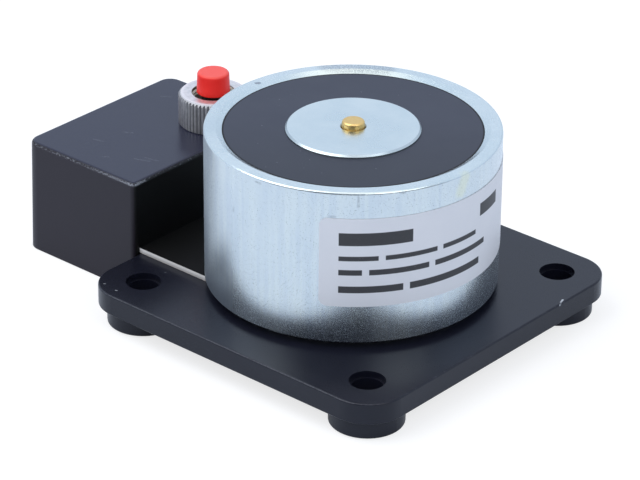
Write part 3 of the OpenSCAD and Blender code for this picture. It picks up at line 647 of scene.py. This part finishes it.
# %% Where the cover is worn, and where its shade and sheen are painted
# The roof tint is a painted sheen, the wall by the pot and the line along the upper edges are painted shade,
# and the pale edge tint is scuffing and a painted highlight.
COVER_DARK, COVER_LIGHT, SCUFF_AND_HIGHLIGHT = (0.011, 0.0078, 0.0130), (0.018, 0.0130, 0.0205), (0.30, 0.31, 0.34)
ROOF_SHEEN, POT_SIDE_SHADE, EDGE_SHADE = (0.014, 0.0155, 0.036), (0.0022, 0.0021, 0.0019), (0.006, 0.006, 0.008)
COVER_FRONT = box_mm("terminal_cover")[0].y
COVER_END, _, ROOF = box_mm("terminal_cover")[1]
RUBBED_FACING, EDGE_SHADE_FACING = ((0.1, 0.3), (0.92, 0.6)), ((0.5, 0.66), (0.96, 0.82))
ROOF_SCRATCH_WIDE = 0.34
ROOF_SCRATCHES = [
    ((-63.4, -6.6, ROOF), (-61.6, -5.6, ROOF)),
    ((-52.0, -15.0, ROOF), (-48.5, -13.6, ROOF)),
    ((-50.5, -13.0, ROOF), (-47.0, -12.2, ROOF)),
    ((-70.6, 13.0, ROOF), (-68.6, 14.4, ROOF)),
    ((-66.0, -14.0, ROOF), (-63.6, -13.4, ROOF)),
    ((-58.0, -19.0, ROOF), (-56.8, -18.2, ROOF)),
]
print(len(ROOF_SCRATCHES), "scratches on a roof at", round(ROOF, 1), "mm")

# %% Moulded black plastic, scuffed
cover, shader, place = finish("moulded_cover")
cloud = grain(place, 0.07, detail=3.0)
eroded = grain(place, 6.5)
towards_pot, _, up_face = facing(place)
x, y, _ = axes(place)
front_and_end = fade(y, COVER_FRONT + 8.0, COVER_FRONT + 1.5) + 0.6 * fade(x, COVER_END - 4.0, COVER_END - 1.0)
corner = 0.09 * fade(x, COVER_END - 24.0, COVER_END - 2.0)
corner = corner - 0.10 * fade(y, COVER_FRONT + 2.5, COVER_FRONT + 6.0)
broken = fade(grain(place, 3.4, detail=3.0, rough=0.7) + corner, 0.5, 0.64)
rubbed_and_highlight = band(up_face, *RUBBED_FACING) * front_and_end * broken
edge_shade = band(up_face, *EDGE_SHADE_FACING)
level_roof = fade(up_face, 0.7, 0.97)
waver = 0.5 * grain(place, 1.4, detail=4.0) - 0.25
scratch = marks(place, ROOF_SCRATCHES, ROOF_SCRATCH_WIDE, waver) * fade(grain(place, 2.6), 0.35, 0.7)
tint = layered(
    blend(cloud, COVER_DARK, COVER_LIGHT),
    # Painted sheen on the roof, then painted shade on the wall towards the pot.
    (level_roof, ROOF_SHEEN),
    (fade(towards_pot, 0.6, 0.9), POT_SIDE_SHADE),
    # Real scratches, painted shade along the upper edges, and scuffs that are also a painted highlight.
    (0.22 * scratch, SCUFF_AND_HIGHLIGHT),
    (0.6 * edge_shade, EDGE_SHADE),
    (0.7 * rubbed_and_highlight, SCUFF_AND_HIGHLIGHT),
)
rough = 0.38 + 0.08 * cloud + 0.1 * eroded + 0.25 * edge_shade - 0.22 * level_roof
relief = bump(eroded + 1.5 * rubbed_and_highlight, 9.0)
give(shader, Base_Color=tint, Specular_IOR_Level=0.34, Roughness=rough, Normal=relief)
dress(cover, "terminal_cover")

# %% [markdown]
# ## The release button
# The button is red plastic with a soft gloss. Its top is painted lighter, a painted highlight where the light
# falls on it, which a mask by facing gives: the same tint mixed in by height would stop at a line.

# %% Red plastic
RED_DEEP, RED_TOP_HIGHLIGHT = (0.96, 0.014, 0.008), (1.0, 0.145, 0.115)
red, shader, place = finish("red_plastic")
cloud = grain(place, 0.3, detail=3.0)
skin = grain(place, 5.0)
# The upward faces get a painted highlight.
tint = blend(0.7 * fade(facing(place)[2], 0.3, 0.95) + 0.2 * cloud, RED_DEEP, RED_TOP_HIGHLIGHT)
relief = bump(skin + cloud, 8.0)
give(shader, Base_Color=tint, Specular_IOR_Level=0.28, Roughness=0.36 + 0.12 * skin, Normal=relief)
dress(red, "push_button")

# %% [markdown]
# The finger nut is knurled and nickel-plated, and the bush it screws on is a duller nickel over brass. The
# knurl is in the construction. Its grooves and the tips of its knurl are darker, and the ring above it is a
# pale satin, which scatters light more than it mirrors: there the shader is less of a metal, and the ring's
# pale tint is a painted highlight.

# %% Nickel
NICKEL_DEEP, NICKEL_PALE, NICKEL_DARKER = (0.64, 0.62, 0.61), (0.77, 0.745, 0.73), (0.10, 0.10, 0.11)
NICKEL_TOP_HIGHLIGHT = (0.81, 0.81, 0.83)
BUSH_DEEP, BUSH_PALE = (0.36, 0.31, 0.22), (0.58, 0.52, 0.42)
BUTTON_X, BUTTON_Y, _ = sum(box_mm("push_button"), Vector()) / 2
NUT_R = (box_mm("ring_nut")[1].x - box_mm("ring_nut")[0].x) / 2
GROOVE_INWARD, SATIN_INWARD = ((0.2, 0.36), (0.7, 0.5)), ((0.3, 0.5), (1.7, 0.8))
TIPS_FACING = ((0.25, 0.45), (0.95, 0.85))


def metal(name, deep, pale, per_mm, low_rough, microns):
    """A plain metal whose tint and roughness change with one grain. Returns what a longer recipe adds to."""
    material, shader, place = finish(name)
    drawn = grain(place, per_mm, detail=3.0)
    tint = blend(fade(drawn, 0.3, 0.7), deep, pale)
    rough = low_rough + 0.15 * drawn
    give(shader, Metallic=1.0, Base_Color=tint, Roughness=rough, Normal=bump(drawn, microns))
    return material, shader, place, tint


nickel, shader, place, tint = metal(
    "knurled_nickel", NICKEL_DEEP, NICKEL_PALE, per_mm=1.2, low_rough=0.34, microns=1.5
)
inward = NUT_R - radius_of(vector(place, "SUBTRACT", (BUTTON_X, BUTTON_Y, 0.0)))
up_face = facing(place)[2]
groove = band(inward, *GROOVE_INWARD) * fade(up_face, 0.3, 0.1)
tips = band(up_face, *TIPS_FACING)
satin = band(inward, *SATIN_INWARD) * fade(up_face, 0.6, 0.85)
# The grooves and tips are darker, and the pale top ring is a painted highlight.
tint = layered(tint, (larger(0.6 * groove, 0.55 * tips), NICKEL_DARKER), (satin, NICKEL_TOP_HIGHLIGHT))
rough = 0.38 + 0.1 * satin + 0.2 * tips
give(shader, Metallic=0.8 - 0.65 * satin, Base_Color=tint, Roughness=rough)
dress(nickel, "ring_nut")

bush, *_ = metal("bush_nickel", BUSH_DEEP, BUSH_PALE, per_mm=1.5, low_rough=0.28, microns=8.0)
dress(bush, "switch_bush")

# %% [markdown]
# ## The board and the sticker
# The board is glass fibre under a black mask, so its cut edge is pale and faintly layered. Separate layers
# would cost many faces, so they are a noise that is drawn out along the board and fine across it. The upper
# part of the cut edge is painted paler than the lower part: painted light above, painted shade below.

# %% Circuit board
MASK_DARK, MASK_LIGHT = (0.0035, 0.0034, 0.0032), (0.006, 0.0055, 0.0052)
FIBRE_SHADED, FIBRE_LIT = (0.56, 0.52, 0.48), (0.98, 0.93, 0.87)
ALONG_LAYERS = (0.08, 0.08, 1.0)
BOARD_TOP = box_mm("circuit_board")[1].z
board, shader, place = finish("masked_board")
cut_edge = fade(abs(facing(place)[2]), 0.6, 0.4)
layers = grain(vector(place, "MULTIPLY", ALONG_LAYERS), 5.0)
weave = grain(place, 2.4)
# The upper part of the cut edge is painted light and the lower part painted shade.
lit_edge = fade(axes(place)[2], BOARD_TOP - 1.1, BOARD_TOP - 0.3) * (0.6 + 0.4 * layers)
tint = layered(
    blend(weave, MASK_DARK, MASK_LIGHT),
    (cut_edge, blend(lit_edge, FIBRE_SHADED, FIBRE_LIT)),
)
rough = 0.42 + 0.1 * weave + 0.3 * cut_edge
give(shader, Base_Color=tint, Specular_IOR_Level=0.15, Roughness=rough, Normal=bump(weave, 4.0))
dress(board, "circuit_board")

# %% [markdown]
# The sticker is silvery film with rows of plain bars. An image of them would need an unwrapped mesh, so each
# bar is worked out in the sticker's own flat coordinates, the arc round the pot and the height.

# %% Sticker with plain bars
FILM_DEEP, FILM_PALE, INK = (0.71, 0.705, 0.72), (0.80, 0.785, 0.79), (0.006, 0.006, 0.008)
PRINT_SOFT = 0.06
STICKER_R = box_mm("pot_label")[1].x
BAR_ROWS = [
    ((34.2, 37.2), [(-31.0, -15.0), (4.0, 12.0)]),
    ((30.6, 31.7), [(-31.0, -22.5), (-21.0, -9.0), (-7.5, 2.5)]),
    ((27.2, 28.5), [(-31.0, -26.0), (-24.5, -11.0), (-9.5, 6.0)]),
    ((23.0, 24.6), [(-31.0, -17.0), (-15.5, 4.0)]),
]
film, shader, place = finish("silver_film")
x, y, height = axes(place)
arc = STICKER_R * x.maths("ARCTAN2", y, x)
ink = None
for row, bars in BAR_ROWS:
    for bar in bars:
        printed = strip(height, *row, PRINT_SOFT) * strip(arc, *bar, PRINT_SOFT)
        ink = printed if ink is None else larger(ink, printed)
cloud = grain(place, 0.1, detail=3.0)
fleck = grain(place, 5.0)
give(
    shader,
    Base_Color=layered(blend(cloud, FILM_DEEP, FILM_PALE), (0.94 * ink * fade(fleck, 0.1, 0.3), INK)),
    Metallic=0.12 - 0.12 * ink,
    Specular_IOR_Level=0.28,
    Roughness=0.36 + 0.1 * cloud + 0.05 * fleck,
    Normal=bump(fleck + 3.0 * cloud, 4.0),
)
dress(film, "pot_label")

# %% [markdown]
# ## What is inside
# The cover is open towards the wall, so the terminals, the switch and the coil's ends can be seen from
# behind, and each has its own plain finish. Nodes written out for each would say the same things again, so
# plastics share one recipe and metals another, and tables hold only what differs.

# %% Inner plastics and metals
# deep tint, pale tint, lowest roughness
PLASTICS = {
    "natural_nylon": ((0.70, 0.66, 0.56), (0.80, 0.77, 0.68), 0.4),
    "pale_sleeve": ((0.74, 0.73, 0.69), (0.86, 0.85, 0.81), 0.5),
    "green_block": ((0.045, 0.20, 0.085), (0.075, 0.28, 0.12), 0.38),
    "switch_black": ((0.012, 0.012, 0.013), (0.022, 0.022, 0.024), 0.45),
}
# deep tint, pale tint, grains to the millimetre, lowest roughness, height of the grain in microns
METALS = {
    "zinc_screws": ((0.45, 0.49, 0.55), (0.62, 0.66, 0.72), 1.8, 0.25, 8.0),
    "brass_strip": ((0.55, 0.43, 0.20), (0.72, 0.60, 0.32), 1.2, 0.26, 5.0),
    "spring_wire": ((0.40, 0.41, 0.43), (0.56, 0.57, 0.60), 3.0, 0.3, 4.0),
}
INNER_PIECES = {
    "natural_nylon": ["coil_bobbin"],
    "pale_sleeve": ["lead_sleeves"],
    "green_block": ["terminal_block"],
    "switch_black": ["switch_housing", "button_plunger"],
    "zinc_screws": ["fixing_screw", "terminal_screws"],
    "brass_strip": ["terminal_clamps", "contact_bridge", "switch_contacts"],
    "spring_wire": ["ejector_spring", "button_spring"],
}


def moulded(name, deep, pale, low_rough):
    """A plain moulded plastic with a slow change of tint and a fine skin."""
    material, shader, place = finish(name)
    cloud = grain(place, 0.25, detail=3.0)
    skin = grain(place, 4.0)
    tint = blend(fade(cloud + 0.2 * skin, 0.3, 0.9), deep, pale)
    give(shader, Base_Color=tint, Roughness=low_rough + 0.15 * skin, Normal=bump(skin + cloud, 8.0))
    return material, shader, place


for name, recipe in PLASTICS.items():
    dress(moulded(name, *recipe)[0], *INNER_PIECES[name])
for name, recipe in METALS.items():
    dress(metal(name, *recipe)[0], *INNER_PIECES[name])

# %% [markdown]
# The winding is many turns of enamelled wire, which is modelled as one ring. Every turn could be swept, but
# nobody would see them under the resin, so fine waves along the ring's height stand for them.

# %% Enamelled copper
COPPER_DEEP, COPPER_PALE = (0.42, 0.16, 0.06), (0.62, 0.28, 0.11)
TURNS_PER_MM, TURN_MICRONS = 2.5, 90.0
copper, shader, place, _ = metal(
    "enamelled_copper", COPPER_DEEP, COPPER_PALE, per_mm=0.6, low_rough=0.22, microns=2.0
)
phase = 2 * math.pi * TURNS_PER_MM * axes(place)[2]
give(shader, Normal=bump(0.5 * phase.maths("SINE", phase), TURN_MICRONS))
dress(copper, "coil_winding", "coil_leads")

# %% [markdown]
# The diode has a black case with a pale band at one end, and tinned wires. It is one mesh, and a material for
# each of the three would have to split it, so one finish tells them apart by how far along they lie.

# %% Banded diode
DIODE_BLACK, DIODE_GREY = (0.010, 0.010, 0.012), (0.022, 0.022, 0.026)
BAND_PALE, TINNED = (0.55, 0.56, 0.58), (0.60, 0.61, 0.63)
DIODE_MIDDLE = sum(corner.y for corner in box_mm("suppressor_diode")) / 2
DIODE_HALF, BAND_FROM, BAND_TO, EDGE_SOFT = 2.6, -1.7, -0.8, 0.02
diode, shader, place = moulded("diode_case", DIODE_BLACK, DIODE_GREY, low_rough=0.3)
along = axes(place)[1] - DIODE_MIDDLE
wire_end = fade(abs(along), DIODE_HALF - EDGE_SOFT, DIODE_HALF + EDGE_SOFT)
ring = strip(along, BAND_FROM, BAND_TO, EDGE_SOFT)
scraped = blend(grain(place, 3.0), DIODE_BLACK, DIODE_GREY)
give(shader, Base_Color=layered(scraped, (ring, BAND_PALE), (wire_end, TINNED)), Metallic=wire_end)
dress(diode, "suppressor_diode")

# %% [markdown]
# ## Copies of the springs
# Each spring sits between a fixed seat and a piece that moves. A packed mesh keeps its shape, so a spring is
# shown by a copy of its mesh, which hangs on its joint's parent body in place of the hidden packed spring;
# the copy keeps its full length.

# %% Copies of the springs, hung on their joints' parents
for joint in frame["record"]["behaviour"]["joints"]:
    for bent in joint["deforming_nodes"]:
        spring = add_object(bent["node"] + "_coil", nodes[bent["node"]].data.copy())
        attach(spring, joint["parent"])
        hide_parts(bent["node"])
        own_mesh(spring)

# %% [markdown]
# ## The thread in the nut's mouth
# The fine thread isn't in the construction, so it is swept here as a ridge along a helix, which catches light
# in a way that a bump map in a deep bore can't. A screw modifier could sweep it, but its ends would be blunt.
# Written out as rings of three points, it grows from nothing and dies away again, as a tapped thread does.

# %% Sweep the thread
THREAD_PITCH, STEPS_PER_TURN, FADE_TURNS = 0.75, 48, 0.35
NUT_BORE, THREAD_DEEP, THREAD_THIN, HALF_RIDGE = 5.05, 0.42, 0.001, 0.45
OVER_BUSH, UNDER_MOUTH = 0.45, 0.3
thread_low = box_mm("switch_bush")[1].z + OVER_BUSH
thread_high = box_mm("ring_nut")[1].z - UNDER_MOUTH
thread_turns = (thread_high - thread_low) / THREAD_PITCH
count = int(thread_turns * STEPS_PER_TURN)


def ridge_points(turn):
    """Three points across the ridge, so many turns from its lower end."""
    grown = min(1.0, turn / FADE_TURNS, (thread_turns - turn) / FADE_TURNS)
    crest = max(THREAD_DEEP * grown, THREAD_THIN)
    outward = Vector((math.cos(2 * math.pi * turn), math.sin(2 * math.pi * turn), 0.0))
    found = []
    for inward, rise in ((0.0, -HALF_RIDGE), (crest, 0.0), (0.0, HALF_RIDGE)):
        on_axis = Vector((BUTTON_X, BUTTON_Y, thread_low + THREAD_PITCH * (turn + rise)))
        found.append((on_axis + outward * (NUT_BORE - inward)) * MM)
    return found


points, faces = [], []
for i in range(count + 1):
    points += ridge_points(thread_turns * i / count)
for a in range(0, 3 * count, 3):
    b = a + 3
    faces += [(a, a + 1, b + 1, b), (a + 1, a + 2, b + 2, b + 1), (a + 2, a, b, b + 2)]
faces += [(0, 2, 1), (3 * count, 3 * count + 1, 3 * count + 2)]
thread_mesh = bpy.data.meshes.new("nut_thread")
thread_mesh.from_pydata(points, [], faces)
thread_mesh.materials.append(bush)
thread = add_object("nut_thread", thread_mesh)
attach(thread, "base")
print("nut_thread", len(faces), "faces,", round(thread_turns, 1), "turns")

# %% [markdown]
# ## The end
